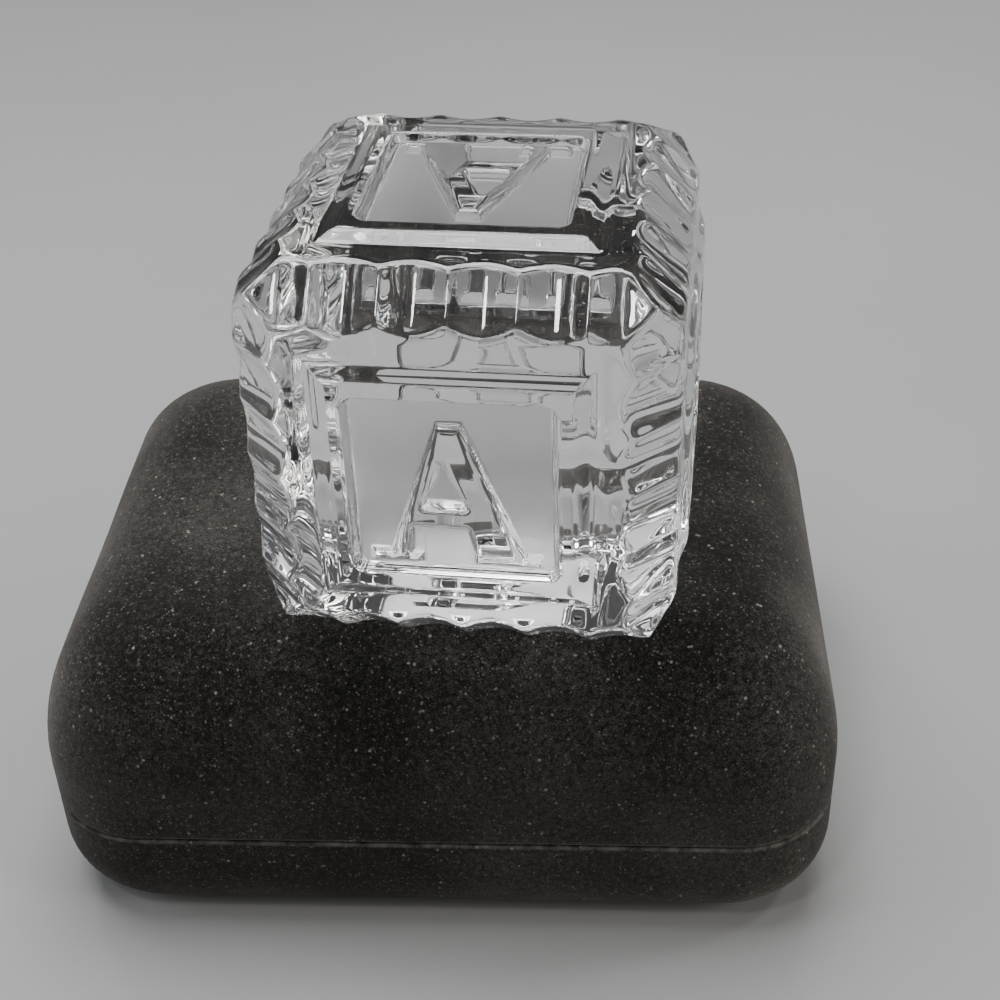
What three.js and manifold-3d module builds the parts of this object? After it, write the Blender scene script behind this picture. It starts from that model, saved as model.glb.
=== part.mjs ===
// A lead-crystal alphabet block standing on the closed velvet presentation case it is shown on.
// Millimetres, +Z up, front towards -Y. The case is centred on the Z axis and rests on Z = 0.
import * as THREE from "three";
import { mergeVertices } from "three/addons/utils/BufferGeometryUtils.js";
import Module from "manifold-3d";

// Crystal block: a cube with fluted chamfers and a raised frame on each face.
const BLOCK_SIDE = 54.6;
const BLOCK_CHAMFER = 5.4;
const FLUTES_PER_EDGE = 6;
const FLUTE_DEPTH = 0.85;
const FRAME_OUTER = 34.2;
const FRAME_LAND = 30.2;
const FRAME_RISE = 1.1;
const PANEL_SIDE = 25.8;
const PANEL_DEPTH = 1.5;
const PANEL_DRAFT = 0.5;
const LETTER_HEIGHT = 20.8;
const LETTER_DROP = 1.15;
const LETTER_RISE = 1.2;
const BLOCK_X = 7.5;
const BLOCK_Y = -13.5;
const BLOCK_TURN = -5;
const BLOCK_CLEARANCE = 0.05;

// Case: a shallow base and a deeper lid with a soft, rolled top edge.
const CASE_WIDTH = 114;
const CASE_DEPTH = 88;
const CASE_CORNER = 15;
const CORNER_FADE = 0.5;
const SEAM_Z = 17;
const SEAM_GAP = 0.4;
const LID_TOP = 47.6;
const LID_ROLL_IN = 16;
const LID_ROLL_DOWN = 24;
const BASE_ROLL_IN = 7;
const BASE_ROLL_UP = 10;
const LIP_ROUND = 0.8;
const SHEET_THICK = 0.6;
const SHEET_INSET = 8.5;
const FIT_GAP = 0.2;
const VELVET_THICK = 1.0;
const SHELL_THICK = 1.8;
const RIM_THICK = 1.0;
const RIM_LIP = 1.8;
const CARD_THICK = 1.0;
const PAD_OFFSET = 4.7;
const BASE_PAD_TOP = 15.2;
const WELL_SIDE = 60;
const WELL_FLOOR = 8.2;
const LID_PAD_FACE = 32;

// Hinges: two brass knuckle hinges at the back, on one axis along X.
const HINGE_X = 28;
const HINGE_Y = CASE_DEPTH / 2 + 0.5;
const HINGE_HALF = 9;
const KNUCKLE_R = 1.7;
const KNUCKLE_BORE = 0.98;
const PIN_R = 0.75;
const PIN_HEAD_R = 1.25;
const LEAF_THICK = 0.6;
const LEAF_LIFT = 0.35;
const LEAF_PLATE_Y = CASE_DEPTH / 2 - 5.1;
const LEAF_PLATE_HEIGHT = 7.6;
const KNUCKLE_CLEAR = 2.1;
const OUTER_KNUCKLE = 3.5;
const SPRING_ZONE = 3.4;
const SPRING_WIRE_R = 0.28;
const SPRING_COIL_R = 1.28;
const SPRING_TURNS = 4;
const RIVET_SPREAD = 5.5;
const RIVET_R = 0.8;
const RIVET_HEAD_R = 1.5;
const RIVET_DROP = 5.2;

const CORNER_STEPS = 7;
const ROLL_STEPS = 8;
const FLUTE_STEPS = 8;

const wasm = await Module();
wasm.setup();

// ---- Solids ----------------------------------------------------------------------------------

// A closed geometry as a solid.
function solid(geometry) {
  const bare = geometry.clone();
  bare.deleteAttribute("normal");
  bare.deleteAttribute("uv");
  const merged = mergeVertices(bare, 1e-4);
  return new wasm.Manifold(
    new wasm.Mesh({
      numProp: 3,
      vertProperties: new Float32Array(merged.attributes.position.array),
      triVerts: new Uint32Array(merged.index.array),
    }),
  );
}

// A solid as a geometry with flat faces.
function geometryOf(body) {
  const mesh = body.getMesh();
  const points = new Float32Array(mesh.numVert * 3);
  for (let i = 0; i < mesh.numVert; i++) {
    points.set(mesh.vertProperties.subarray(i * mesh.numProp, i * mesh.numProp + 3), i * 3);
  }
  const geometry = new THREE.BufferGeometry();
  geometry.setAttribute("position", new THREE.BufferAttribute(points, 3));
  geometry.setIndex(new THREE.BufferAttribute(new Uint32Array(mesh.triVerts), 1));
  const flat = geometry.toNonIndexed();
  flat.computeVertexNormals();
  return flat;
}

// A geometry turned by Euler angles in degrees, then moved, as a solid.
function placed(geometry, x, y, z, turnX = 0, turnY = 0, turnZ = 0) {
  const turn = new THREE.Euler(
    THREE.MathUtils.degToRad(turnX),
    THREE.MathUtils.degToRad(turnY),
    THREE.MathUtils.degToRad(turnZ),
  );
  const moved = geometry.clone();
  moved.applyMatrix4(new THREE.Matrix4().makeRotationFromEuler(turn));
  moved.translate(x, y, z);
  return solid(moved);
}

// A box given by its low and high corners.
function box(low, high) {
  const size = high.map((value, axis) => value - low[axis]);
  const middle = high.map((value, axis) => (value + low[axis]) / 2);
  return placed(new THREE.BoxGeometry(...size), ...middle);
}

// A rod along X or Y, centred on a point.
function rod(radius, length, x, y, z, alongY = false, steps = 24) {
  const cylinder = new THREE.CylinderGeometry(radius, radius, length, steps);
  return alongY ? placed(cylinder, x, y, z) : placed(cylinder, x, y, z, 0, 0, 90);
}

function union(bodies) {
  return bodies.reduce((sum, body) => sum.add(body));
}

function minus(body, cutters) {
  return cutters.reduce((left, cutter) => left.subtract(cutter), body);
}

// ---- Rounded sections and lofts ---------------------------------------------------------------

// Points round a rectangle with rounded corners, counter-clockwise.
function roundedOutline(halfX, halfY, radius) {
  const corners = [
    [halfX - radius, halfY - radius],
    [radius - halfX, halfY - radius],
    [radius - halfX, radius - halfY],
    [halfX - radius, radius - halfY],
  ];
  const points = [];
  corners.forEach(([x, y], quarter) => {
    for (let step = 0; step <= CORNER_STEPS; step++) {
      const angle = ((quarter + step / CORNER_STEPS) * Math.PI) / 2;
      points.push([x + radius * Math.cos(angle), y + radius * Math.sin(angle)]);
    }
  });
  return points;
}

// A closed solid through convex sections stacked upwards.
function loft(sections) {
  const rings = sections.map((s) => roundedOutline(s.halfX, s.halfY, s.radius));
  const count = rings[0].length;
  const points = [];
  const faces = [];
  rings.forEach((ring, level) => {
    ring.forEach(([x, y]) => points.push(x, y, sections[level].z));
  });
  for (let level = 0; level + 1 < rings.length; level++) {
    for (let i = 0; i < count; i++) {
      const a = level * count + i;
      const b = level * count + ((i + 1) % count);
      faces.push(a, b, b + count, a, b + count, a + count);
    }
  }
  const last = (rings.length - 1) * count;
  for (let i = 1; i + 1 < count; i++) {
    faces.push(0, i + 1, i, last, last + i, last + i + 1);
  }
  const geometry = new THREE.BufferGeometry();
  geometry.setAttribute("position", new THREE.Float32BufferAttribute(points, 3));
  geometry.setIndex(faces);
  return solid(geometry);
}

// ---- Crystal block ----------------------------------------------------------------------------

const blockHalf = BLOCK_SIDE / 2;
const blockReach = blockHalf + FRAME_RISE;
const faceTurns = [
  { letter: "A", turn: [90, 0, 0] },
  { letter: "A", turn: [90, 0, 180] },
  { letter: "C", turn: [90, 0, 90] },
  { letter: "C", turn: [90, 0, -90] },
  { letter: "A", turn: [0, 0, 180] },
  { letter: "B", turn: [180, 0, 0] },
];

// A body built with +Z outward, turned about X first and then about Z.
function onFace(body, [tilt, , spin]) {
  return body.rotate([tilt, 0, 0]).rotate([0, 0, spin]);
}

// The cube with all twelve edges cut back at 45 degrees.
function chamferedCube() {
  const flat = blockHalf - BLOCK_CHAMFER;
  const section = new THREE.Shape([
    new THREE.Vector2(flat, -blockHalf),
    new THREE.Vector2(blockHalf, -flat),
    new THREE.Vector2(blockHalf, flat),
    new THREE.Vector2(flat, blockHalf),
    new THREE.Vector2(-flat, blockHalf),
    new THREE.Vector2(-blockHalf, flat),
    new THREE.Vector2(-blockHalf, -flat),
    new THREE.Vector2(-flat, -blockHalf),
  ]);
  const prism = new THREE.ExtrudeGeometry(section, { depth: BLOCK_SIDE, bevelEnabled: false });
  prism.translate(0, 0, -blockHalf);
  const upright = placed(prism, 0, 0, 0);
  const alongX = placed(prism, 0, 0, 0, 0, 90, 0);
  const alongY = placed(prism, 0, 0, 0, 90, 0, 0);
  return upright.intersect(alongX).intersect(alongY);
}

// The cutter for one edge: a row of shallow round hollows that run across the chamfer.
function fluteCutter() {
  const span = BLOCK_SIDE - BLOCK_CHAMFER;
  const pitch = span / FLUTES_PER_EDGE;
  const radius = (pitch * pitch) / (8 * FLUTE_DEPTH) + FLUTE_DEPTH / 2;
  const reach = Math.asin(pitch / 2 / radius);
  const shape = new THREE.Shape();
  shape.moveTo(-span / 2, 3);
  shape.lineTo(-span / 2, 0);
  for (let flute = 0; flute < FLUTES_PER_EDGE; flute++) {
    const centre = -span / 2 + pitch * (flute + 0.5);
    for (let step = 1; step <= FLUTE_STEPS; step++) {
      const angle = reach * ((2 * step) / FLUTE_STEPS - 1);
      const sink = radius * Math.cos(angle) - (radius - FLUTE_DEPTH);
      shape.lineTo(centre + radius * Math.sin(angle), -Math.max(sink, 0));
    }
  }
  shape.lineTo(span / 2, 3);
  const length = BLOCK_CHAMFER * 3;
  const geometry = new THREE.ExtrudeGeometry(shape, { depth: length, bevelEnabled: false });
  geometry.translate(0, (BLOCK_SIDE - BLOCK_CHAMFER) / Math.SQRT2, -length / 2);
  return solid(geometry);
}

// One cutter on each of the twelve edges.
function allFlutes() {
  const cutter = fluteCutter();
  const cutters = [];
  [45, 135, 225, 315].forEach((angle) => {
    const alongX = cutter.rotate([angle, 0, 0]);
    cutters.push(alongX);
    cutters.push(alongX.rotate([0, 0, 90]));
    cutters.push(alongX.rotate([0, 90, 0]));
  });
  return cutters;
}

// The raised frame of one face, with sloping sides.
function frame() {
  const foot = FRAME_OUTER / 2;
  const land = FRAME_LAND / 2;
  return loft([
    { z: blockHalf - 1, halfX: foot, halfY: foot, radius: 0.6 },
    { z: blockHalf, halfX: foot, halfY: foot, radius: 0.6 },
    { z: blockReach, halfX: land, halfY: land, radius: 1.0 },
  ]);
}

// The square hollow inside one frame, with slightly drafted walls and a softened foot.
function panelHollow() {
  const mouth = PANEL_SIDE / 2;
  const foot = mouth - PANEL_DRAFT;
  const floor = blockReach - PANEL_DEPTH;
  return loft([
    { z: floor, halfX: foot - 0.7, halfY: foot - 0.7, radius: 0.9 },
    { z: floor + 0.15, halfX: foot - 0.25, halfY: foot - 0.25, radius: 1.2 },
    { z: floor + 0.6, halfX: foot, halfY: foot, radius: 1.4 },
    { z: blockReach, halfX: mouth, halfY: mouth, radius: 1.6 },
    { z: blockReach + 1, halfX: mouth, halfY: mouth, radius: 1.6 },
  ]);
}

function polygon(points) {
  return points.map(([x, y]) => new THREE.Vector2(x * LETTER_HEIGHT, y * LETTER_HEIGHT));
}

// Capital letters in a plain upright serif, one unit tall and centred.
function letterShapes(letter) {
  const shape = new THREE.Shape();
  const openings = [];
  const at = (x, y) => [x * LETTER_HEIGHT, y * LETTER_HEIGHT];
  const oval = (path, x, y, rx, ry, from, to, clockwise) =>
    path.absellipse(...at(x, y), rx * LETTER_HEIGHT, ry * LETTER_HEIGHT, from, to, clockwise);
  if (letter === "A") {
    shape.setFromPoints(
      polygon([
        [-0.526, -0.5],
        [-0.196, -0.5],
        [-0.196, -0.415],
        [-0.257, -0.415],
        [-0.248, -0.245],
        [0.066, -0.245],
        [0.11, -0.415],
        [0.11, -0.5],
        [0.526, -0.5],
        [0.526, -0.415],
        [0.43, -0.415],
        [0.065, 0.5],
        [-0.084, 0.5],
        [-0.397, -0.415],
        [-0.526, -0.415],
      ]),
    );
    openings.push(polygon([[-0.163, -0.05], [0.058, -0.05], [-0.063, 0.22]]));
  }
  if (letter === "B") {
    shape.moveTo(...at(-0.4, -0.5));
    shape.lineTo(...at(0.1, -0.5));
    oval(shape, 0.1, -0.23, 0.3, 0.27, -Math.PI / 2, Math.PI * 0.38, false);
    oval(shape, 0.08, 0.25, 0.27, 0.25, -Math.PI * 0.38, Math.PI / 2, false);
    shape.lineTo(...at(-0.4, 0.5));
    shape.lineTo(...at(-0.4, 0.42));
    shape.lineTo(...at(-0.31, 0.42));
    shape.lineTo(...at(-0.31, -0.42));
    shape.lineTo(...at(-0.4, -0.42));
    [
      [-0.24, 0.14, 0.11],
      [0.24, 0.14, 0.13],
    ].forEach(([y, rx, ry]) => {
      const hole = new THREE.Path();
      hole.moveTo(...at(-0.13, y - ry));
      hole.lineTo(...at(0.06, y - ry));
      oval(hole, 0.06, y, rx, ry, -Math.PI / 2, Math.PI / 2, false);
      hole.lineTo(...at(-0.13, y + ry));
      openings.push(hole.getPoints(8));
    });
  }
  if (letter === "C") {
    oval(shape, 0, 0, 0.46, 0.5, Math.PI * 0.2, Math.PI * 1.8, false);
    shape.lineTo(...at(0.3, -0.2));
    oval(shape, 0.04, 0, 0.3, 0.38, Math.PI * 1.75, Math.PI * 0.25, true);
  }
  shape.holes = openings.map((points) => new THREE.Path(points));
  return shape;
}

// A letter standing on the floor of the hollow, its foot sunk a little into the floor.
function letterBody(letter) {
  const soften = 0.45;
  const floor = blockReach - PANEL_DEPTH;
  const geometry = new THREE.ExtrudeGeometry(letterShapes(letter), {
    depth: LETTER_RISE - soften + 0.2,
    curveSegments: 10,
    bevelEnabled: true,
    bevelThickness: soften,
    bevelSize: soften,
    bevelOffset: -soften,
    bevelSegments: 3,
  });
  geometry.translate(0, -LETTER_DROP, floor - 0.2);
  return solid(geometry);
}

function crystalBlock() {
  const cube = minus(chamferedCube(), allFlutes());
  const dressed = faceTurns.reduce((body, face) => {
    const raised = body.add(onFace(frame(), face.turn));
    const hollowed = raised.subtract(onFace(panelHollow(), face.turn));
    return hollowed.add(onFace(letterBody(face.letter), face.turn));
  }, cube);
  return dressed
    .rotate([0, 0, BLOCK_TURN])
    .translate([BLOCK_X, BLOCK_Y, LID_TOP + BLOCK_CLEARANCE + blockReach]);
}

// ---- Case walls -------------------------------------------------------------------------------

const baseFoot = SHEET_THICK + FIT_GAP;
const baseRim = SEAM_Z - SEAM_GAP / 2;
const lidRim = SEAM_Z + SEAM_GAP / 2;
const shellOffset = VELVET_THICK + FIT_GAP;
const rimOffset = shellOffset + SHELL_THICK + FIT_GAP;

// The section of the case at one height: pulled in from the walls by `wall` and then by `roll`.
function caseSection(z, wall, roll = 0) {
  return {
    z,
    halfX: CASE_WIDTH / 2 - wall - roll,
    halfY: CASE_DEPTH / 2 - wall - roll,
    radius: Math.max(CASE_CORNER - wall - roll * CORNER_FADE, 2),
  };
}

// The lid's outer form, offset inwards, from a given height up to its top.
function lidForm(offset, from, lip = 0) {
  const sections = [];
  if (lip > 0) {
    [90, 60, 30].forEach((degrees) => {
      const angle = THREE.MathUtils.degToRad(degrees);
      sections.push(
        caseSection(from + lip * (1 - Math.sin(angle)), offset, lip * (1 - Math.cos(angle))),
      );
    });
  }
  sections.push(caseSection(from + lip, offset));
  for (let step = 0; step <= ROLL_STEPS; step++) {
    const angle = (step / ROLL_STEPS) * (Math.PI / 2);
    sections.push(
      caseSection(
        LID_TOP - LID_ROLL_DOWN + (LID_ROLL_DOWN - offset) * Math.sin(angle),
        offset,
        (LID_ROLL_IN - offset) * (1 - Math.cos(angle)),
      ),
    );
  }
  return loft(sections);
}

// The base's outer form, offset inwards, from its foot up to a given height.
function baseForm(offset, to, lip = 0) {
  const sections = [];
  for (let step = ROLL_STEPS; step >= 0; step--) {
    const angle = (step / ROLL_STEPS) * (Math.PI / 2);
    sections.push(
      caseSection(
        baseFoot + BASE_ROLL_UP - (BASE_ROLL_UP - offset) * Math.sin(angle),
        offset,
        (BASE_ROLL_IN - offset) * (1 - Math.cos(angle)),
      ),
    );
  }
  sections.push(caseSection(to - lip, offset));
  if (lip > 0) {
    [30, 60, 90].forEach((degrees) => {
      const angle = THREE.MathUtils.degToRad(degrees);
      sections.push(
        caseSection(to - lip * (1 - Math.sin(angle)), offset, lip * (1 - Math.cos(angle))),
      );
    });
  }
  return loft(sections);
}

// A straight-sided body of the case's outline.
function straight(offset, from, to) {
  return loft([caseSection(from, offset), caseSection(to, offset)]);
}

// Room for a hinge in the back wall: a slot for its leaf and a trough for its knuckles.
function hingePocket(x, up) {
  const wide = HINGE_HALF + 1.2;
  const high = up ? 1.5 : 2;
  const low = up ? SEAM_Z - 1 : SEAM_Z - high;
  const top = up ? SEAM_Z + high : SEAM_Z + 1;
  const slot = box([x - wide, LEAF_PLATE_Y - 0.4, low], [x + wide, CASE_DEPTH, top]);
  return slot.add(rod(KNUCKLE_CLEAR, wide * 2, x, HINGE_Y, SEAM_Z));
}

// Clearance round the upright plate of a leaf, cut out of the pads.
function platePocket(x) {
  const wide = HINGE_HALF + 1.2;
  return box([x - wide, LEAF_PLATE_Y - 2.2, baseFoot], [x + wide, CASE_DEPTH, SEAM_Z + 4]);
}

// The rivet places of a leaf: their X offsets, at one height.
function rivetPlaces(x, up) {
  const z = up ? SEAM_Z + RIVET_DROP : SEAM_Z - RIVET_DROP + 1.6;
  return [-RIVET_SPREAD, RIVET_SPREAD].map((offset) => [x + offset, z]);
}

function rivetHoles(up) {
  return [-HINGE_X, HINGE_X].flatMap((x) =>
    rivetPlaces(x, up).map(([rx, z]) =>
      rod(RIVET_R + FIT_GAP, 8, rx, CASE_DEPTH / 2 - VELVET_THICK - 4, z, true, 16),
    ),
  );
}

const pocketsBelow = [-HINGE_X, HINGE_X].map((x) => hingePocket(x, false));
const pocketsAbove = [-HINGE_X, HINGE_X].map((x) => hingePocket(x, true));
const floorOpening = straight(BASE_ROLL_IN + 9, -1, baseFoot + 3);

function baseVelvet() {
  const skin = baseForm(0, baseRim, LIP_ROUND);
  return minus(skin, [baseForm(VELVET_THICK, baseRim + 2), floorOpening, ...pocketsBelow]);
}

function baseShell() {
  const outer = baseForm(shellOffset, baseRim - 0.2);
  const hollow = baseForm(shellOffset + SHELL_THICK, baseRim + 2);
  return minus(outer, [hollow, ...pocketsBelow, ...rivetHoles(false)]);
}

// The base's rim strip: its lip stands above the seam at the front and sides to centre the lid.
function baseRimFrame() {
  const strip = straight(rimOffset, baseFoot + BASE_ROLL_UP + 0.1, SEAM_Z + RIM_LIP);
  const hollow = straight(rimOffset + RIM_THICK, 0, LID_TOP);
  const back = box(
    [-CASE_WIDTH, CASE_DEPTH / 2 - CASE_CORNER, baseRim - 0.2],
    [CASE_WIDTH, CASE_DEPTH, LID_TOP],
  );
  return minus(strip, [hollow, back, ...pocketsBelow, ...rivetHoles(false)]);
}

function lidVelvet() {
  const skin = lidForm(0, lidRim, LIP_ROUND);
  return minus(skin, [lidForm(VELVET_THICK, lidRim - 2), ...pocketsAbove]);
}

function lidShell() {
  const outer = lidForm(shellOffset, lidRim + 0.2);
  const hollow = lidForm(shellOffset + SHELL_THICK, lidRim - 2);
  return minus(outer, [hollow, ...pocketsAbove, ...rivetHoles(true)]);
}

function lidRimFrame() {
  const strip = straight(rimOffset, SEAM_Z + RIM_LIP + 0.6, SEAM_Z + RIM_LIP + 7);
  const hollow = straight(rimOffset + RIM_THICK, 0, LID_TOP);
  return minus(strip, [hollow, ...rivetHoles(true)]);
}

// ---- Inside the case --------------------------------------------------------------------------

// A thin board of the case's outline.
function board(inset, from) {
  return loft([
    caseSection(from, 0, inset),
    caseSection(from + CARD_THICK, 0, inset),
  ]);
}

// The firm base pad, with a square well for the foot of the block.
function basePad() {
  const pad = baseForm(PAD_OFFSET, BASE_PAD_TOP, 1.6);
  const well = WELL_SIDE / 2;
  const hollow = loft([
    { z: WELL_FLOOR, halfX: well, halfY: well, radius: 3 },
    { z: BASE_PAD_TOP - 1, halfX: well, halfY: well, radius: 3 },
    { z: BASE_PAD_TOP - 0.3, halfX: well + 0.3, halfY: well + 0.3, radius: 3.3 },
    { z: BASE_PAD_TOP + 0.1, halfX: well + 1.2, halfY: well + 1.2, radius: 4.2 },
  ]);
  return minus(pad, [hollow, platePocket(-HINGE_X), platePocket(HINGE_X)]);
}

// The puffed lining of the lid.
function lidPad() {
  const swell = [
    [0, 14],
    [0.9, 7],
    [2.4, 2.6],
    [4.4, 0.4],
  ];
  const sections = swell.map(([rise, inset]) =>
    caseSection(LID_PAD_FACE - 3 + rise, PAD_OFFSET, inset),
  );
  for (let step = 1; step <= ROLL_STEPS; step++) {
    const angle = (step / ROLL_STEPS) * (Math.PI / 2);
    const z = LID_TOP - LID_ROLL_DOWN + (LID_ROLL_DOWN - PAD_OFFSET) * Math.sin(angle);
    const roll = (LID_ROLL_IN - PAD_OFFSET) * (1 - Math.cos(angle));
    if (z > LID_PAD_FACE + 1.6) {
      sections.push(caseSection(z, PAD_OFFSET, Math.max(roll, 0.4)));
    }
  }
  return loft(sections);
}

// ---- Hinges -----------------------------------------------------------------------------------

// The X spans of a hinge's knuckles and spring, from left to right, about its middle.
const knuckleA = [-HINGE_HALF, -HINGE_HALF + OUTER_KNUCKLE];
const knuckleB = [HINGE_HALF - OUTER_KNUCKLE, HINGE_HALF];
const springSpan = [knuckleA[1] + 0.3, knuckleA[1] + 0.3 + SPRING_ZONE];
const lidKnuckle = [springSpan[1] + 0.3, knuckleB[0] - 0.3];

// A leaf: knuckles on the axis, a tab in through the wall, and an upright plate inside it.
function leaf(x, spans, up) {
  const sign = up ? 1 : -1;
  const near = SEAM_Z + sign * LEAF_LIFT;
  const far = near + sign * LEAF_THICK;
  const [low, high] = [Math.min(near, far), Math.max(near, far)];
  const plateEnd = near + sign * LEAF_PLATE_HEIGHT * (up ? 1 : 0.62);
  const tab = box(
    [x - HINGE_HALF, LEAF_PLATE_Y, low],
    [x + HINGE_HALF, HINGE_Y - KNUCKLE_R - 0.4, high],
  );
  const plate = box(
    [x - HINGE_HALF, LEAF_PLATE_Y, Math.min(near, plateEnd)],
    [x + HINGE_HALF, LEAF_PLATE_Y + LEAF_THICK, Math.max(near, plateEnd)],
  );
  const fingers = spans.map(([from, to]) =>
    box([x + from, HINGE_Y - KNUCKLE_R - 0.6, low], [x + to, HINGE_Y, high]).add(
      rod(KNUCKLE_R, to - from, x + (from + to) / 2, HINGE_Y, SEAM_Z),
    ),
  );
  const bore = rod(KNUCKLE_BORE, HINGE_HALF * 3, x, HINGE_Y, SEAM_Z);
  const holes = rivetPlaces(x, up).map(([rx, z]) =>
    rod(RIVET_R + FIT_GAP, 4, rx, LEAF_PLATE_Y, z, true, 16),
  );
  return minus(union([tab, plate, ...fingers]), [bore, ...holes]);
}

// The hinge pin, with a small peened head at each end.
function pin(x) {
  const half = HINGE_HALF + 0.25;
  const profile = [
    new THREE.Vector2(0, -half - 0.5),
    new THREE.Vector2(PIN_HEAD_R * 0.7, -half - 0.5),
    new THREE.Vector2(PIN_HEAD_R, -half - 0.2),
    new THREE.Vector2(PIN_HEAD_R, -half),
    new THREE.Vector2(PIN_R, -half),
    new THREE.Vector2(PIN_R, half),
    new THREE.Vector2(PIN_HEAD_R, half),
    new THREE.Vector2(PIN_HEAD_R, half + 0.2),
    new THREE.Vector2(PIN_HEAD_R * 0.7, half + 0.5),
    new THREE.Vector2(0, half + 0.5),
  ];
  return placed(new THREE.LatheGeometry(profile, 20), x, HINGE_Y, SEAM_Z, 0, 0, 90);
}

// A coil round the pin whose free end lies along the base leaf.
class CoilPath extends THREE.Curve {
  constructor(x, from, to) {
    super();
    Object.assign(this, { x, from, to });
  }

  getPoint(t, target = new THREE.Vector3()) {
    const coilShare = 0.86;
    const turned = Math.min(t / coilShare, 1);
    const angle = turned * SPRING_TURNS * Math.PI * 2;
    const x = this.x + this.from + (this.to - this.from) * turned;
    const run = Math.max(t - coilShare, 0) * 26;
    return target.set(
      x,
      HINGE_Y + SPRING_COIL_R * Math.sin(angle) - run,
      SEAM_Z - SPRING_COIL_R * Math.cos(angle),
    );
  }
}

function spring(x) {
  const wire = new THREE.Shape();
  wire.absarc(0, 0, SPRING_WIRE_R, 0, Math.PI * 2, false);
  const from = springSpan[0] + SPRING_WIRE_R + 0.05;
  const to = springSpan[1] - SPRING_WIRE_R - 0.05;
  const geometry = new THREE.ExtrudeGeometry(wire, {
    steps: 60,
    curveSegments: 3,
    bevelEnabled: false,
    extrudePath: new CoilPath(x, to, from),
  });
  return solid(geometry);
}

// A rivet from its round head inside the case to its tail in the shell wall.
function rivet([x, z]) {
  const head = LEAF_PLATE_Y - 0.15;
  const tail = CASE_DEPTH / 2 - VELVET_THICK - 0.5;
  const profile = [
    new THREE.Vector2(0, head - 0.8),
    new THREE.Vector2(RIVET_HEAD_R * 0.6, head - 0.7),
    new THREE.Vector2(RIVET_HEAD_R * 0.92, head - 0.35),
    new THREE.Vector2(RIVET_HEAD_R, head),
    new THREE.Vector2(RIVET_R, head),
    new THREE.Vector2(RIVET_R, tail),
    new THREE.Vector2(0, tail),
  ];
  return placed(new THREE.LatheGeometry(profile, 12), x, 0, z);
}

// ---- The assembly -----------------------------------------------------------------------------

const crystal = { color: 0xe8f0f4, roughness: 0.02, transparent: true, opacity: 0.55 };
const velvet = { color: 0x141313, roughness: 1 };
const plastic = { color: 0x2b2b2e, roughness: 0.6 };
const brass = { color: 0xb08d4a, roughness: 0.35, metalness: 1 };
const steel = { color: 0xb9bcc0, roughness: 0.3, metalness: 1 };
const cardboard = { color: 0x8d8578, roughness: 0.95 };
const paper = { color: 0x1e1e20, roughness: 0.85 };
const satin = { color: 0xece6d8, roughness: 0.4 };

const group = new THREE.Group();

function piece(name, body, look) {
  const mesh = new THREE.Mesh(geometryOf(body), new THREE.MeshStandardMaterial(look));
  mesh.name = name;
  group.add(mesh);
}

piece("crystal_block", crystalBlock(), crystal);

const sheet = board(SHEET_INSET, 0);
piece("base_sheet", sheet.intersect(straight(0, -1, SHEET_THICK)), paper);
piece("base_velvet", baseVelvet(), velvet);
piece("base_shell", baseShell(), plastic);
piece("base_rim_frame", baseRimFrame(), brass);
piece("base_card", board(SHEET_INSET, baseFoot + shellOffset + SHELL_THICK + 0.3), cardboard);
piece("base_pad", basePad(), velvet);

piece("lid_velvet", lidVelvet(), velvet);
piece("lid_shell", lidShell(), plastic);
piece("lid_rim_frame", lidRimFrame(), brass);
const lidCeiling = LID_TOP - shellOffset - SHELL_THICK;
piece("lid_card", board(LID_ROLL_IN, lidCeiling - CARD_THICK - 0.3), cardboard);
piece("lid_pad", lidPad(), satin);

[
  ["left", -HINGE_X],
  ["right", HINGE_X],
].forEach(([side, x]) => {
  piece(`hinge_${side}_base_leaf`, leaf(x, [knuckleA, knuckleB], false), brass);
  piece(`hinge_${side}_lid_leaf`, leaf(x, [lidKnuckle], true), brass);
  piece(`hinge_${side}_pin`, pin(x), steel);
  piece(`hinge_${side}_spring`, spring(x), steel);
  rivetPlaces(x, false).forEach((place, index) => {
    piece(`hinge_${side}_base_rivet_${index + 1}`, rivet(place), brass);
  });
  rivetPlaces(x, true).forEach((place, index) => {
    piece(`hinge_${side}_lid_rivet_${index + 1}`, rivet(place), brass);
  });
});

export default group;
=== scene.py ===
"""Looks for the crystal block award on its velvet presentation case."""

import math

import bmesh
import bpy
import numpy as np
from mathutils import Matrix, Vector


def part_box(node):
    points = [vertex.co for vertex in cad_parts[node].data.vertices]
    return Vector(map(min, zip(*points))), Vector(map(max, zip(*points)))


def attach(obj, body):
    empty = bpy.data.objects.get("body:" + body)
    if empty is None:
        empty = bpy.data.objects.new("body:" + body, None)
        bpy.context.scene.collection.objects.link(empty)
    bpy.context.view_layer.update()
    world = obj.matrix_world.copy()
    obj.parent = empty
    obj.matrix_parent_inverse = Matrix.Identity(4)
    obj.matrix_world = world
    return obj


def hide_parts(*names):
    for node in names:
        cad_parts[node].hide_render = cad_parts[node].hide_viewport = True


MM = 0.001

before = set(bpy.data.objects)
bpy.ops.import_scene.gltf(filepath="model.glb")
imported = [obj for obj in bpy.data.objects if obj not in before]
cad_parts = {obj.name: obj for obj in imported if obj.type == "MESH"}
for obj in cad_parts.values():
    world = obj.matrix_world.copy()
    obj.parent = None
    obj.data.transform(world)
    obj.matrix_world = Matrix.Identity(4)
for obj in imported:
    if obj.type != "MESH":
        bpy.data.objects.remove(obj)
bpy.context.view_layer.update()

# ---- Camera --------------------------------------------------------------------------------------

CAMERA_AT = Vector((22.56, -209.17, 195.39)) * MM
CAMERA_FORWARD = Vector((-0.0566, 0.8108, -0.5826))
CAMERA_UP = Vector((-0.0038, 0.5834, 0.8122))
CAMERA_LENS = 61.32

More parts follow.
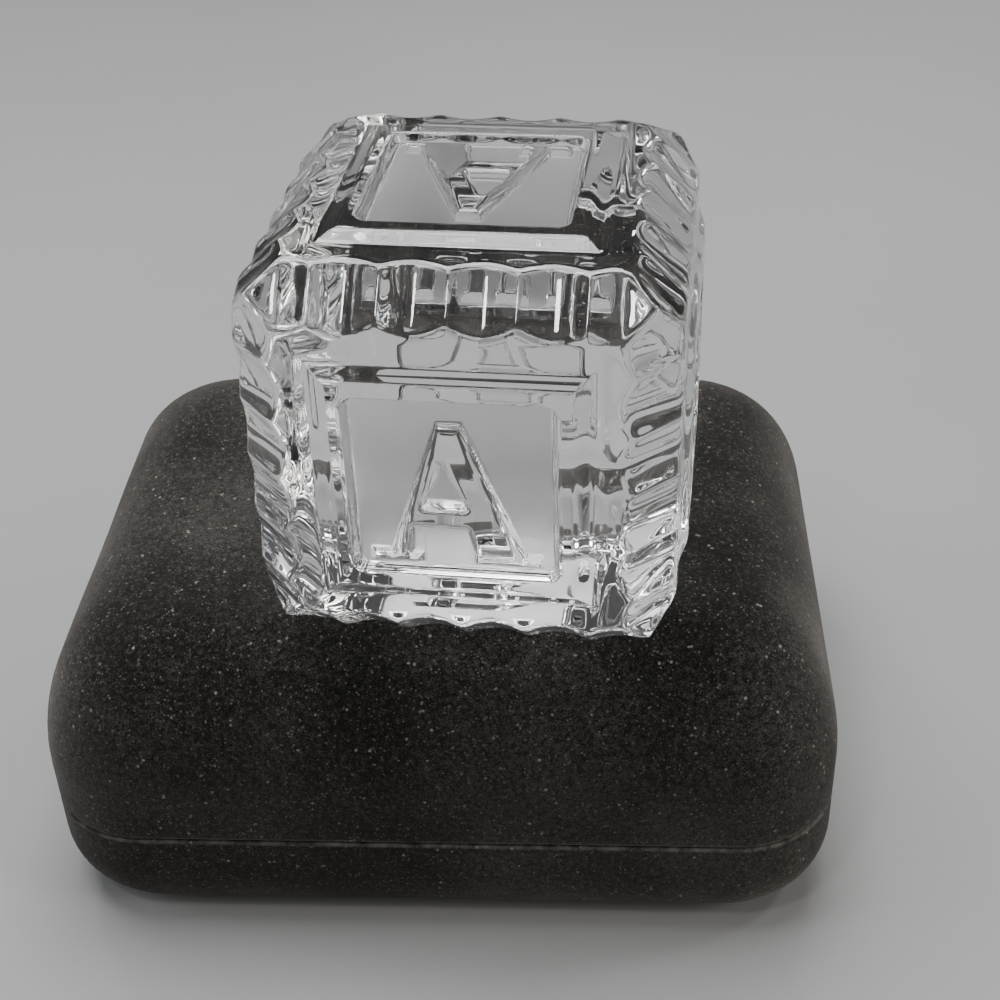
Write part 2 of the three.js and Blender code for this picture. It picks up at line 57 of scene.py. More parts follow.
camera = bpy.data.objects.new("camera", bpy.data.cameras.new("camera"))
bpy.context.scene.collection.objects.link(camera)
bpy.context.scene.camera = camera
camera.data.lens = CAMERA_LENS
camera.data.clip_start = 0.005
camera.data.clip_end = 20.0
back = -CAMERA_FORWARD.normalized()
side = CAMERA_UP.cross(back).normalized()
camera.matrix_world = Matrix.Translation(CAMERA_AT) @ Matrix(
    (side, back.cross(side), back)
).transposed().to_4x4()

# ---- Sizes of the case and the block, in millimetres ---------------------------------------------

CASE_CORNER = 15.0
CORNER_FADE = 0.5
LID_ROLL_IN = 16.0
LID_ROLL_DOWN = 24.0
BASE_ROLL_IN = 7.0
BASE_ROLL_UP = 10.0
VELVET_THICK = 1.0
LIP_ROUND = 0.4
HINGE_HALF = 9.0
KNUCKLE_CLEAR = 2.1

BLOCK_SIDE = 54.6
BLOCK_CHAMFER = 5.4
BLOCK_TURN = -5.0
FLUTES_PER_EDGE = 6
FLUTE_DEPTH = 0.85
FRAME_OUTER = 34.2
FRAME_LAND = 30.2
FRAME_RISE = 1.1
PANEL_SIDE = 25.8
PANEL_CORNER = 1.6
PANEL_DEPTH = 1.5
LETTER_HEIGHT = 20.8
LETTER_DROP = 1.15
LETTER_RISE = 1.2
LETTER_ROUND = 1.3


def box_mm(node):
    """The lowest and highest corner of a CAD node, in millimetres."""
    low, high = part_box(node)
    return np.array(low) / MM, np.array(high) / MM


SEAM_Z = (box_mm("lid_velvet")[0][2] + box_mm("base_velvet")[1][2]) / 2

# ---- Meshes --------------------------------------------------------------------------------------


def add_mesh(name, points_mm, faces, smooth=True):
    """A mesh object from points in millimetres."""
    mesh = bpy.data.meshes.new(name)
    mesh.from_pydata((np.asarray(points_mm, float) * MM).tolist(), [], faces)
    mesh.validate()
    if smooth:
        mesh.shade_smooth()
    made = bpy.data.objects.new(name, mesh)
    bpy.context.scene.collection.objects.link(made)
    return made


def settle(made, body, slot, *nodes):
    """The piece rides on its body and stands for its CAD nodes. Its slot is not used."""
    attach(made, body)
    if nodes:
        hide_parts(*nodes)
    return made


def bake_modifiers(made):
    """The object's mesh as its modifiers leave it, without them."""
    bpy.context.view_layer.update()
    graph = bpy.context.evaluated_depsgraph_get()
    result = bpy.data.meshes.new_from_object(made.evaluated_get(graph))
    made.modifiers.clear()
    made.data = result
    return made


def cut(made, cutters):
    """Cuts the cutters out of the object, and removes them."""
    for cutter in cutters:
        step = made.modifiers.new("cut", "BOOLEAN")
        step.operation = "DIFFERENCE"
        step.solver = "EXACT"
        step.object = cutter
    bake_modifiers(made)
    for cutter in cutters:
        bpy.data.objects.remove(cutter)
    return made


def rework(made, change):
    """Changes the object's mesh in place, with a function of its editable form."""
    grid = bmesh.new()
    grid.from_mesh(made.data)
    change(grid)
    grid.to_mesh(made.data)
    grid.free()
    return made


def tube_faces(rings, count):
    """The four-sided faces between neighbouring rings of points."""
    faces = []
    for level in range(rings - 1):
        for i in range(count):
            a, b = level * count + i, level * count + (i + 1) % count
            faces.append((a, b, b + count, a + count))
    return faces


def capped_tube_faces(rings, count):
    """The same, with a flat face over the first ring and the last."""
    faces = tube_faces(rings, count)
    faces.append(tuple(reversed(range(count))))
    faces.append(tuple(range((rings - 1) * count, rings * count)))
    return faces


def box_cutter(low, high):
    """A box between two corners."""
    corners = [[(low, high)[(i >> k) & 1][k] for k in range(3)] for i in range(8)]
    faces = [(0, 2, 3, 1), (4, 5, 7, 6), (0, 1, 5, 4), (2, 6, 7, 3), (0, 4, 6, 2), (1, 3, 7, 5)]
    return add_mesh("cutter", corners, faces, smooth=False)


def rod_cutter(radius, x_from, x_to, y, z, steps=32):
    """A rod along the X axis."""
    points = []
    for x in (x_from, x_to):
        for i in range(steps):
            angle = 2 * math.pi * i / steps
            points.append((x, y + radius * math.cos(angle), z + radius * math.sin(angle)))
    return add_mesh("cutter", points, capped_tube_faces(2, steps), smooth=False)


def smooth_by_angle(made, degrees=35.0):
    """Smooth faces with sharp edges where the surface turns by more than the angle."""

    def mark(grid):
        for face in grid.faces:
            face.smooth = True
        for edge in grid.edges:
            if len(edge.link_faces) == 2:
                edge.smooth = edge.calc_face_angle() < math.radians(degrees)

    return rework(made, mark)


def bevel(made, width_mm, segments=2, degrees=30.0):
    """Softens the sharp edges, as a modifier that leaves the mesh as it is."""
    step = made.modifiers.new("edges", "BEVEL")
    step.width = width_mm * MM
    step.segments = segments
    step.limit_method = "ANGLE"
    step.angle_limit = math.radians(degrees)
    step.harden_normals = False
    return made


# ---- Node materials ------------------------------------------------------------------------------


class Look:
    """A node material: a Principled shader with procedural patterns linked to its sockets."""

    def __init__(self, name, **sockets):
        self.material = bpy.data.materials.new(name)
        self.material.use_nodes = True
        self.tree = self.material.node_tree
        self.shader = self.tree.nodes["Principled BSDF"]
        self.place = self.add("ShaderNodeTexCoord").outputs["Object"]
        for socket, value in sockets.items():
            self.shader.inputs[socket.replace("_", " ")].default_value = value

    def add(self, kind, **settings):
        node = self.tree.nodes.new(kind)
        for key, value in settings.items():
            setattr(node, key, value)
        return node

    def link(self, output, target):
        self.tree.links.new(output, target)

    def stretched(self, scale):
        """The object coordinates with each axis scaled."""
        node = self.add("ShaderNodeMapping")
        node.inputs["Scale"].default_value = scale
        self.link(self.place, node.inputs["Vector"])
        return node.outputs["Vector"]

    def noise(self, scale, detail=3.0, rough=0.55, vector=None):
        node = self.add("ShaderNodeTexNoise")
        node.inputs["Scale"].default_value = scale
        node.inputs["Detail"].default_value = detail
        node.inputs["Roughness"].default_value = rough
        self.link(vector or self.place, node.inputs["Vector"])
        return node.outputs["Fac"]

    def cells(self, scale, vector=None):
        node = self.add("ShaderNodeTexVoronoi")
        node.inputs["Scale"].default_value = scale
        self.link(vector or self.place, node.inputs["Vector"])
        return node

    def ramp(self, value, *stops):
        """Colours or greys over a value: each stop is a position and a colour."""
        node = self.add("ShaderNodeValToRGB")
        while len(node.color_ramp.elements) < len(stops):
            node.color_ramp.elements.new(0.5)
        for element, (position, colour) in zip(node.color_ramp.elements, stops):
            element.position = position
            element.color = colour if len(colour) == 4 else (*colour, 1.0)
        self.link(value, node.inputs["Fac"])
        return node.outputs["Color"]

    def span(self, value, low, high, to_low, to_high):
        node = self.add("ShaderNodeMapRange")
        for key, number in zip(("From Min", "From Max", "To Min", "To Max"), (low, high, to_low, to_high)):
            node.inputs[key].default_value = number
        self.link(value, node.inputs["Value"])
        return node.outputs["Result"]

    def math(self, operation, first, second):
        node = self.add("ShaderNodeMath", operation=operation)
        for index, value in enumerate((first, second)):
            if isinstance(value, (int, float)):
                node.inputs[index].default_value = value
            else:
                self.link(value, node.inputs[index])
        return node.outputs["Value"]

    def blend(self, share, first, second):
        """One colour over another by a share; either may be a fixed colour."""
        node = self.add("ShaderNodeMix", data_type="RGBA")
        self.link(share, node.inputs["Factor"])
        for key, value in (("A", first), ("B", second)):
            socket = [s for s in node.inputs if s.name == key and s.type == "RGBA"][0]
            if isinstance(value, tuple):
                socket.default_value = (*value, 1.0)
            else:
                self.link(value, socket)
        return [s for s in node.outputs if s.type == "RGBA"][0]

    def colour(self, output):
        self.link(output, self.shader.inputs["Base Color"])
        return self

    def rough(self, value, low, high):
        self.link(self.span(value, 0.3, 0.7, low, high), self.shader.inputs["Roughness"])
        return self

    def bump(self, height, distance_mm, strength=1.0):
        node = self.add("ShaderNodeBump")
        node.inputs["Distance"].default_value = distance_mm * MM
        node.inputs["Strength"].default_value = strength
        self.link(height, node.inputs["Height"])
        last = self.shader.inputs["Normal"]
        if last.is_linked:
            self.link(last.links[0].from_socket, node.inputs["Normal"])
        self.link(node.outputs["Normal"], last)
        return self


def grey(value):
    return (value, value, value)


def crystal_look():
    look = Look("crystal_glass", IOR=1.545, Transmission_Weight=1.0)
    tone = look.noise(25.0, detail=1.0)
    look.colour(look.ramp(tone, (0.3, (0.985, 0.992, 0.995)), (0.7, (0.992, 0.994, 0.99))))
    frost = look.add("ShaderNodeAttribute", attribute_name="frost").outputs["Fac"]
    fine = look.span(look.noise(3000.0, detail=2.0), 0.3, 0.7, 0.42, 0.52)
    look.link(look.math("MULTIPLY", frost, fine), look.shader.inputs["Roughness"])
    look.bump(look.noise(120.0, detail=1.0), 0.03, strength=0.12)
    return look.material


def velvet_look(name, dark, light, lint, pale_lip_at_mm=None):
    """Flocked velvet: a fine grain, places where the pile lies differently, lint and a paler, fuzzy line
    along the lips.
    """
    look = Look(name, Roughness=0.95, Specular_IOR_Level=0.08, Sheen_Weight=0.3)
    look.shader.inputs["Sheen Roughness"].default_value = 0.5
    look.shader.inputs["Sheen Tint"].default_value = (0.5, 0.47, 0.44, 1.0)
    grain = look.noise(4200.0, detail=3.0, rough=0.8)
    clumps = look.noise(1300.0, detail=2.0, rough=0.6)
    patches = look.noise(30.0, detail=4.0)
    pile = look.math("MULTIPLY", grain, look.span(patches, 0.35, 0.65, 0.87, 1.1))
    pile = look.math("ADD", pile, look.span(clumps, 0.3, 0.7, -0.09, 0.09))
    shade = look.ramp(pile, (0.44, dark), (0.64, light))
    for size, few, colour in ((1700.0, 0.5, (0.12, 0.105, 0.088)), (1050.0, 0.6, (0.24, 0.215, 0.18))):
        dots = look.span(look.cells(size).outputs["Distance"], 0.12, 0.32, 1.0, 0.0)
        chosen = look.span(look.noise(size * 0.7, detail=1.0), few, few + 0.08, 0.0, lint)
        shade = look.blend(look.math("MULTIPLY", dots, chosen), shade, colour)
    # The lips next to the seam are made paler, in a fuzzy line.
    if pale_lip_at_mm is not None:
        height = look.add("ShaderNodeSeparateXYZ")
        look.link(look.place, height.inputs["Vector"])
        away = look.math("ABSOLUTE", look.math("SUBTRACT", height.outputs["Z"], pale_lip_at_mm * MM), 0.0)
        lip = look.span(away, 0.35 * MM, 0.8 * MM, 0.5, 0.0)
        fuzz = look.span(look.noise(500.0, detail=3.0), 0.36, 0.64, 0.2, 1.0)
        shade = look.blend(look.math("MULTIPLY", lip, fuzz), shade, (0.2, 0.19, 0.175))
    look.colour(shade)
    look.bump(grain, 0.12, strength=0.6)
    look.link(look.span(patches, 0.3, 0.7, 0.17, 0.33), look.shader.inputs["Sheen Weight"])
    return look.material


def metal_look(name, dark, light, along):
    """Rolled metal with fine lines along one axis."""
    look = Look(name, Metallic=1.0)
    lines = look.noise(300.0, vector=look.stretched(along))
    wear = look.noise(60.0, detail=2.0)
    look.colour(look.ramp(wear, (0.2, dark), (0.8, light)))
    look.rough(lines, 0.18, 0.38)
    look.bump(lines, 0.02, strength=0.25)
    return look.material


def plastic_look():
    look = Look("case_shell", Specular_IOR_Level=0.4)
    fine = look.noise(1500.0)
    look.colour(look.ramp(look.noise(60.0), (0.35, grey(0.035)), (0.65, grey(0.055))))
    look.rough(fine, 0.5, 0.68)
    look.bump(fine, 0.03, strength=0.4)
    return look.material


def card_look():
    look = Look("card", Specular_IOR_Level=0.2)
    fibres = look.noise(700.0, detail=6.0, vector=look.stretched((1.0, 3.0, 3.0)))
    look.colour(look.ramp(fibres, (0.35, (0.3, 0.26, 0.21)), (0.65, (0.5, 0.45, 0.38))))
    look.rough(fibres, 0.85, 0.97)
    look.bump(fibres, 0.05, strength=0.5)
    return look.material


def paper_look():
    look = Look("foot_paper", Specular_IOR_Level=0.35)
    pebble = look.cells(900.0).outputs["Distance"]
    look.colour(look.ramp(look.noise(400.0), (0.3, grey(0.012)), (0.7, grey(0.03))))
    look.rough(pebble, 0.5, 0.75)
    look.bump(pebble, 0.08, strength=0.6)
    return look.material


def satin_look():
    look = Look("lining_satin", Sheen_Weight=0.3, Specular_IOR_Level=0.5)
    warp = look.noise(2500.0, detail=1.0, vector=look.stretched((0.12, 1.0, 1.0)))
    look.colour(look.ramp(look.noise(80.0), (0.3, (0.78, 0.73, 0.63)), (0.7, (0.86, 0.82, 0.73))))
    look.rough(warp, 0.28, 0.42)
    look.bump(warp, 0.04, strength=0.35)
    return look.material


brass = metal_look("rim_brass", (0.6, 0.43, 0.18), (0.76, 0.57, 0.27), (0.05, 1.0, 1.0))
steel = metal_look("hinge_steel", grey(0.42), grey(0.66), (0.08, 1.0, 1.0))
case_velvet = velvet_look("case_velvet", grey(0.002), (0.036, 0.033, 0.03), 0.8, pale_lip_at_mm=SEAM_Z)
lining_velvet = velvet_look("lining_velvet", grey(0.005), (0.03, 0.028, 0.028), 0.1)
crystal = crystal_look()
plastic = plastic_look()
card = card_look()
paper = paper_look()
satin = satin_look()


def dress(made, material):
    made.data.materials.clear()
    made.data.materials.append(material)
    return made


# ---- The crystal block ---------------------------------------------------------------------------

HALF = BLOCK_SIDE / 2
REACH = HALF + FRAME_RISE
CUT_PLANE = BLOCK_SIDE - BLOCK_CHAMFER
PITCH = CUT_PLANE / FLUTES_PER_EDGE
FLUTE_R = PITCH * PITCH / (8 * FLUTE_DEPTH) + FLUTE_DEPTH / 2
# How much the ridges between the flutes are rounded, and how far the corners are cut back.
RIDGE_ROUND = 0.45
CORNER_CUT = 1.2
# On a face, measured from its middle: the grid is straight up to STILL, the flat ends at CREASE, and
# the patch ends at RIM, halfway over the chamfer.
STILL = 19.0
CREASE = CUT_PLANE - HALF
RIM = CUT_PLANE / 2
# Points of neighbouring patches closer than this are one point.
SEAM_REACH = 0.002
# How widely two surfaces blend where they meet.
CHAMFER_BLEND = 1.6
CREASE_BLEND = 0.9
MITRE_BLEND = 0.15
FRAME_FOOT_BLEND = 0.3
FRAME_TOP_BLEND = 0.4
PANEL_TOP_BLEND = 0.7
PANEL_FLOOR_BLEND = 0.8
PANEL_WALL_SLOPE = 3.0
# The panel's floor is frosted from this far inside its edge, and the letter is not.
FROST_INSET = 0.55
FROST_FADE = 0.3
LETTER_FROST_FADE = 0.2
# The block's grid lines, on one half of a face.
FINE_REACH = 12.2
FINE_STEP = 0.2
COARSE_FROM = 13.6
COARSE_STEP = 0.45
LEAST_STEP = 0.045
EDGE_LINES = (-0.5, -0.35, -0.2, -0.1, 0, 0.1, 0.2)
CREASE_LINES = (-1.6, -0.9, -0.45, -0.3, -0.2, -0.1, 0, 0.1, 0.2, 0.3, 0.5, 0.9, 1.5, 2.1)
RIDGE_LINES = (-0.5, -0.3, -0.15, 0, 0.15, 0.3, 0.5)
WARP_ROUNDS = 40


def soft_min(a, b, width):
    """The lower of two heights, with a rounded change from one to the other."""
    overlap = np.maximum(width - np.abs(a - b), 0) / width
    return np.minimum(a, b) - overlap * overlap * width / 4


def soft_max(a, b, width):
    return -soft_min(-a, -b, width)


def flute(along):
    """The depth of the flutes at a place along an edge."""
    inside = np.clip(np.abs(along), 0, RIM)
    ridge = np.abs(inside - np.round(inside / PITCH) * PITCH)
    ridge = np.sqrt(ridge * ridge + RIDGE_ROUND**2) - RIDGE_ROUND
    return np.sqrt(FLUTE_R**2 - (PITCH / 2 - ridge) ** 2) - (FLUTE_R - FLUTE_DEPTH)


def warp(nominal, across):
    """Moves the outer grid lines of a face onto the scalloped crease and rim of the flutes."""
    depth = flute(across)
    crease = CREASE - math.sqrt(2) * depth
    rim = RIM - depth / math.sqrt(2)
    far = np.abs(nominal)
    inner = STILL + (far - STILL) / (CREASE - STILL) * (crease - STILL)
    outer = crease + (far - CREASE) / (RIM - CREASE) * (rim - crease)
    return np.sign(nominal) * np.where(far <= STILL, far, np.where(far <= CREASE, inner, outer))


def arc(x, y, rx, ry, start, end, steps=14):
    """Points on an ellipse between two angles given in half turns."""
    angles = np.linspace(start * math.pi, end * math.pi, steps)
    return [(x + rx * math.cos(a), y + ry * math.sin(a)) for a in angles]


def letter_outlines(letter):
    """Closed outlines of an upright serif capital, one unit tall and centred."""
    if letter == "A":
        serif = 0.085 - 0.5
        outer = [(-0.526, -0.5), (-0.196, -0.5), (-0.196, serif), (-0.257, serif)]
        outer += [(-0.248, -0.245), (0.066, -0.245), (0.11, serif), (0.11, -0.5)]
        outer += [(0.526, -0.5), (0.526, serif), (0.43, serif), (0.065, 0.5)]
        outer += [(-0.084, 0.5), (-0.397, serif), (-0.526, serif)]
        return [outer, [(-0.163, -0.05), (0.058, -0.05), (-0.063, 0.22)]]
    if letter == "B":
        outer = [(-0.4, -0.5), (0.1, -0.5)]
        outer += arc(0.1, -0.23, 0.3, 0.27, -0.5, 0.38)
        outer += arc(0.08, 0.25, 0.27, 0.25, -0.38, 0.5)
        outer += [(-0.4, 0.5), (-0.4, 0.42), (-0.31, 0.42), (-0.31, -0.42), (-0.4, -0.42)]
        low = [(-0.13, -0.38), *arc(0.06, -0.24, 0.11, 0.14, -0.5, 0.5), (-0.13, -0.1)]
        high = [(-0.13, 0.1), *arc(0.06, 0.24, 0.13, 0.14, -0.5, 0.5), (-0.13, 0.38)]
        return [outer, low, high]
    bowl = arc(0, 0, 0.46, 0.5, 0.2, 1.8, steps=40)
    return [bowl + [(0.3, -0.2)] + arc(0.04, 0, 0.3, 0.38, 1.75, 0.25, steps=40)]


def depth_inside(x, y, outlines):
    """The distance of each point inside the outlines, negative outside."""
    nearest = np.full(x.shape, 1e9)
    within = np.zeros(x.shape, bool)
    for outline in outlines:
        for (ax, ay), (bx, by) in zip(outline, outline[1:] + outline[:1]):
            dx, dy = bx - ax, by - ay
            length = dx * dx + dy * dy
            if length < 1e-12:
                continue
            share = np.clip(((x - ax) * dx + (y - ay) * dy) / length, 0, 1)
            nearest = np.minimum(nearest, np.hypot(x - ax - share * dx, y - ay - share * dy))
            if abs(dy) > 1e-12:
                crosses = ((ay > y) != (by > y)) & (x < ax + (y - ay) * dx / dy)
                within ^= crosses
    return np.where(within, nearest, -nearest)


def face_height(u, v, letter):
    """The height over the block's centre of each point of one face, and how frosted it is."""
    flat = np.full(u.shape, HALF)
    chamfer_u = CUT_PLANE - np.abs(u) - math.sqrt(2) * flute(v)
    chamfer_v = CUT_PLANE - np.abs(v) - math.sqrt(2) * flute(u)
    height = soft_min(flat, soft_min(chamfer_u, chamfer_v, CHAMFER_BLEND), CREASE_BLEND)
    height = soft_min(height, 3 * RIM - CORNER_CUT - np.abs(u) - np.abs(v), CORNER_CUT)

    out = soft_max(np.abs(u), np.abs(v), MITRE_BLEND)
    slope = (FRAME_OUTER / 2 - out) * FRAME_RISE / ((FRAME_OUTER - FRAME_LAND) / 2)
    frame_height = soft_min(soft_max(slope, 0, FRAME_FOOT_BLEND), FRAME_RISE, FRAME_TOP_BLEND)

    side_x = np.abs(u) - (PANEL_SIDE / 2 - PANEL_CORNER)
    side_y = np.abs(v) - (PANEL_SIDE / 2 - PANEL_CORNER)
    corner = np.hypot(np.maximum(side_x, 0), np.maximum(side_y, 0))
    inside = PANEL_CORNER - corner - np.minimum(np.maximum(side_x, side_y), 0)
    wall = soft_max(inside * PANEL_WALL_SLOPE, 0, PANEL_TOP_BLEND)
    drop = soft_min(wall, PANEL_DEPTH, PANEL_FLOOR_BLEND)

    drawn = letter_outlines(letter)
    scaled = [[(x * LETTER_HEIGHT, y * LETTER_HEIGHT - LETTER_DROP) for x, y in o] for o in drawn]
    depth = depth_inside(u, v, scaled)
    deep = np.clip(depth / LETTER_ROUND, 0, 1)
    rise = LETTER_RISE * np.sqrt(1 - (1 - deep) ** 2)
    frost = np.clip((inside - FROST_INSET) / FROST_FADE, 0, 1)
    frost *= np.clip(0.5 - depth / LETTER_FROST_FADE, 0, 1)
    return height + frame_height - drop + rise, frost


# Each face: its letter, and the tilt and then the spin that turn it from lying flat to its place.
FACES = [
    ("A", 90, 0),
    ("A", 90, 180),
    ("C", 90, 90),
    ("C", 90, -90),
    ("A", 0, 180),
    ("B", 180, 0),
]


def grid_lines():
    """Grid lines over half a face, finer over the letter and next to each edge."""
    lines = set(np.round(np.arange(0, FINE_REACH + 0.01, FINE_STEP), 3))
    for edge in (PANEL_SIDE / 2, FRAME_LAND / 2, FRAME_OUTER / 2):
        lines.update(np.round(edge + np.array(EDGE_LINES), 3))
    lines.update(np.round(np.arange(COARSE_FROM, STILL + 0.01, COARSE_STEP), 3))
    lines.update(np.round(CREASE + np.array(CREASE_LINES), 3))
    for ridge in (PITCH, 2 * PITCH):
        lines.update(np.round(ridge + np.array(RIDGE_LINES), 3))
    lines.add(RIM)
    kept = []
    for line in sorted(lines):
        if not kept or line - kept[-1] > LEAST_STEP:
            kept.append(line)
    half = np.array(kept)
    return np.concatenate([-half[:0:-1], half])


def face_patch(lines, letter):
    """The points of one face, in the face's own axes, its triangles and how frosted each point is."""
    n, m = np.meshgrid(lines, lines, indexing="ij")
    u, v = n.copy(), m.copy()
    for _ in range(WARP_ROUNDS):
        u, v = warp(n, v), warp(m, u)
    w, frost = face_height(u, v, letter)
    count = len(lines)
    for edge in (0, count - 1):
        u[edge] = np.sign(u[edge]) * (np.abs(u[edge]) + w[edge]) / 2
        w[edge] = np.abs(u[edge])
        v[:, edge] = np.sign(v[:, edge]) * (np.abs(v[:, edge]) + w[:, edge]) / 2
        w[:, edge] = np.abs(v[:, edge])
    for i in (0, count - 1):
        for j in (0, count - 1):
            tip = (abs(u[i, j]) + abs(v[i, j]) + w[i, j]) / 3
            u[i, j], v[i, j], w[i, j] = np.sign(u[i, j]) * tip, np.sign(v[i, j]) * tip, tip
    i, j = np.meshgrid(np.arange(count - 1), np.arange(count - 1), indexing="ij")
    a = (i * count + j).ravel()
    b, c, d = a + count, a + count + 1, a + 1
    middle = (count - 1) / 2
    straight = ((i + 0.5 > middle) == (j + 0.5 > middle)).ravel()
    first = np.where(straight[:, None], np.stack([a, b, c], 1), np.stack([a, b, d], 1))
    second = np.where(straight[:, None], np.stack([a, c, d], 1), np.stack([b, c, d], 1))
    return np.stack([u.ravel(), v.ravel(), w.ravel()], 1), np.concatenate([first, second]), frost.ravel()


def crystal_block():
    """Six patches, one for each face, joined where they meet and set in the CAD block's place."""
    lines = grid_lines()
    patches = {letter: face_patch(lines, letter) for letter in {f[0] for f in FACES}}
    points, faces, frost, offset = [], [], [], 0
    for letter, tilt, spin in FACES:
        local, triangles, local_frost = patches[letter]
        turn = Matrix.Rotation(math.radians(spin), 3, "Z") @ Matrix.Rotation(math.radians(tilt), 3, "X")
        points.append(local @ np.array(turn).T)
        faces.append(triangles + offset)
        frost.append(local_frost)
        offset += len(local)
    points, faces, frost = np.concatenate(points), np.concatenate(faces), np.concatenate(frost)
    low, high = box_mm("crystal_block")
    spin = np.array(Matrix.Rotation(math.radians(BLOCK_TURN), 3, "Z"))
    placed = points @ spin.T * ((high - low)[2] / (2 * REACH)) + (low + high) / 2
    made = add_mesh("block", placed, faces.tolist())
    frosting = made.data.attributes.new("frost", "FLOAT", "POINT")
    frosting.data.foreach_set("value", frost.astype(np.float32))
    return rework(
        made,
        lambda grid: bmesh.ops.remove_doubles(grid, verts=grid.verts, dist=SEAM_REACH * MM),
    )


block = dress(crystal_block(), crystal)
settle(block, "block", "crystal", "crystal_block")

# ---- The velvet skins ----------------------------------------------------------------------------

CORNER_STEPS = 18
LONG_STEPS = 64
SHORT_STEPS = 48
LIP_STEPS = 9
LEAST_CORNER = 2.0
# Heights of the rings up the straight walls.
LID_WALL_RINGS = (22.6, 21.0, 19.4)
BASE_WALL_RINGS = (12.0, 13.6, 15.0)
# Rings that close a form towards its middle, as shares of its last ring.
CLOSING_SHARES = (0.86, 0.72, 0.58, 0.44, 0.3, 0.16, 0.05)
FLANGE_SHARES = (0.97, 0.94)
# The lid's top is not quite flat, except where the block stands.
SAG_DEPTH = 0.3
SAG_LENGTH = 34.0
SAG_SEED = 3
SAG_WAVES = 7
SAG_FROM_Z = 24.0
STAND_R = 18.0
STAND_FADE = 12.0
# How far each hinge pocket reaches below and above the seam, past the hinge and in from its leaf.
POCKET_BELOW_ABOVE = {"lid": (1.0, 1.5), "base": (2.0, 1.0)}
POCKET_SIDE = 1.2
POCKET_IN = 0.45

lid_low, lid_high = box_mm("lid_velvet")
base_low, base_high = box_mm("base_velvet")
CASE_HALF_X = (base_high - base_low)[0] / 2
CASE_HALF_Y = (base_high - base_low)[1] / 2
LID_TOP = lid_high[2]
LID_RIM = lid_low[2]
BASE_RIM = base_high[2]
BASE_FOOT = base_low[2]
pin_low, pin_high = box_mm("hinge_left_pin")
HINGE_Y = (pin_low + pin_high)[1] / 2
HINGE_XS = [sum(box_mm(f"hinge_{name}_pin"))[0] / 2 for name in ("left", "right")]
LEAF_PLATE_Y = box_mm("hinge_left_base_leaf")[0][1]


def rounded_ring(half_x, half_y, radius):
    """Points round a rectangle with rounded corners, counter-clockwise from the right side."""
    corners = [(1, 1), (-1, 1), (-1, -1), (1, -1)]
    steps = [LONG_STEPS, SHORT_STEPS, LONG_STEPS, SHORT_STEPS]
    points = []
    for quarter, (sx, sy) in enumerate(corners):
        cx, cy = sx * (half_x - radius), sy * (half_y - radius)
        for step in range(CORNER_STEPS + 1):
            angle = (quarter + step / CORNER_STEPS) * math.pi / 2
            points.append((cx + radius * math.cos(angle), cy + radius * math.sin(angle)))
        nx, ny = corners[(quarter + 1) % 4]
        angle = (quarter + 1) * math.pi / 2
        start = np.array(points[-1])
        end = np.array((nx * (half_x - radius), ny * (half_y - radius)))
        end = end + radius * np.array((math.cos(angle), math.sin(angle)))
        for step in range(1, steps[quarter]):
            points.append(tuple(start + (end - start) * step / steps[quarter]))
    return np.array(points)


def section(z, wall, roll=0.0):
    """A ring round the case at a height, in from its outline by the wall and the roll."""
    half_x, half_y = CASE_HALF_X - wall - roll, CASE_HALF_Y - wall - roll
    ring = rounded_ring(half_x, half_y, max(CASE_CORNER - wall - roll * CORNER_FADE, LEAST_CORNER))
    return np.column_stack([ring, np.full(len(ring), z)])


def lid_profile(wall, steps=22):
    """Rings of the lid's form at a depth inside its outer skin, from the straight wall to the top."""
    rings = []
    for angle in np.linspace(0, math.pi / 2, steps):
        z = LID_TOP - LID_ROLL_DOWN + (LID_ROLL_DOWN - wall) * math.sin(angle)
        rings.append(section(z, wall, (LID_ROLL_IN - wall) * (1 - math.cos(angle))))
    return rings


def base_profile(wall, steps=18):
    """The same for the base, from the straight wall down to its foot."""
    rings = []
    for angle in np.linspace(0, math.pi / 2, steps):
        z = BASE_FOOT + BASE_ROLL_UP - (BASE_ROLL_UP - wall) * math.sin(angle)
        rings.append(section(z, wall, (BASE_ROLL_IN - wall) * (1 - math.cos(angle))))
    return rings


def rim_rings(z_edge, inward):
    """Rings round the lip of a skin, from its outside to its inside."""
    rings = []
    for angle in np.linspace(0, math.pi, LIP_STEPS):
        wall = (1 - math.cos(angle)) / 2 * VELVET_THICK
        up = math.sin(angle) * LIP_ROUND
        rings.append(section(z_edge + inward * (LIP_ROUND - up), wall))
    return rings


def sealed(rings, first_closed=True, last_closed=True):
    """Points and faces of a surface through rings, with its ends closed towards their middles."""
    count = len(rings[0])
    stack = list(rings)
    if first_closed:
        stack = [stack[0] * (s, s, 1) for s in reversed(CLOSING_SHARES)] + stack
    if last_closed:
        stack = stack + [stack[-1] * (s, s, 1) for s in CLOSING_SHARES]
    points = np.concatenate(stack)
    faces = tube_faces(len(stack), count)
    if first_closed:
        points = np.vstack([points, stack[0].mean(0)])
        middle = len(points) - 1
        faces += [(middle, (i + 1) % count, i) for i in range(count)]
    if last_closed:
        points = np.vstack([points, stack[-1].mean(0)])
        middle = len(points) - 1
        far = (len(stack) - 1) * count
        faces += [(middle, far + i, far + (i + 1) % count) for i in range(count)]
    return points, faces


def ripple(points, length, seed):
    """A slow pattern between 0 and 1 over the points."""
    turns = np.random.default_rng(seed)
    total = np.zeros(len(points))
    for _ in range(SAG_WAVES):
        way = turns.normal(size=3)
        way *= (2 * math.pi / length) * turns.uniform(0.6, 1.6) / np.linalg.norm(way)
        total += np.sin(points @ way + turns.uniform(0, 6.3))
    return np.clip(total / SAG_WAVES + 0.5, 0, 1)


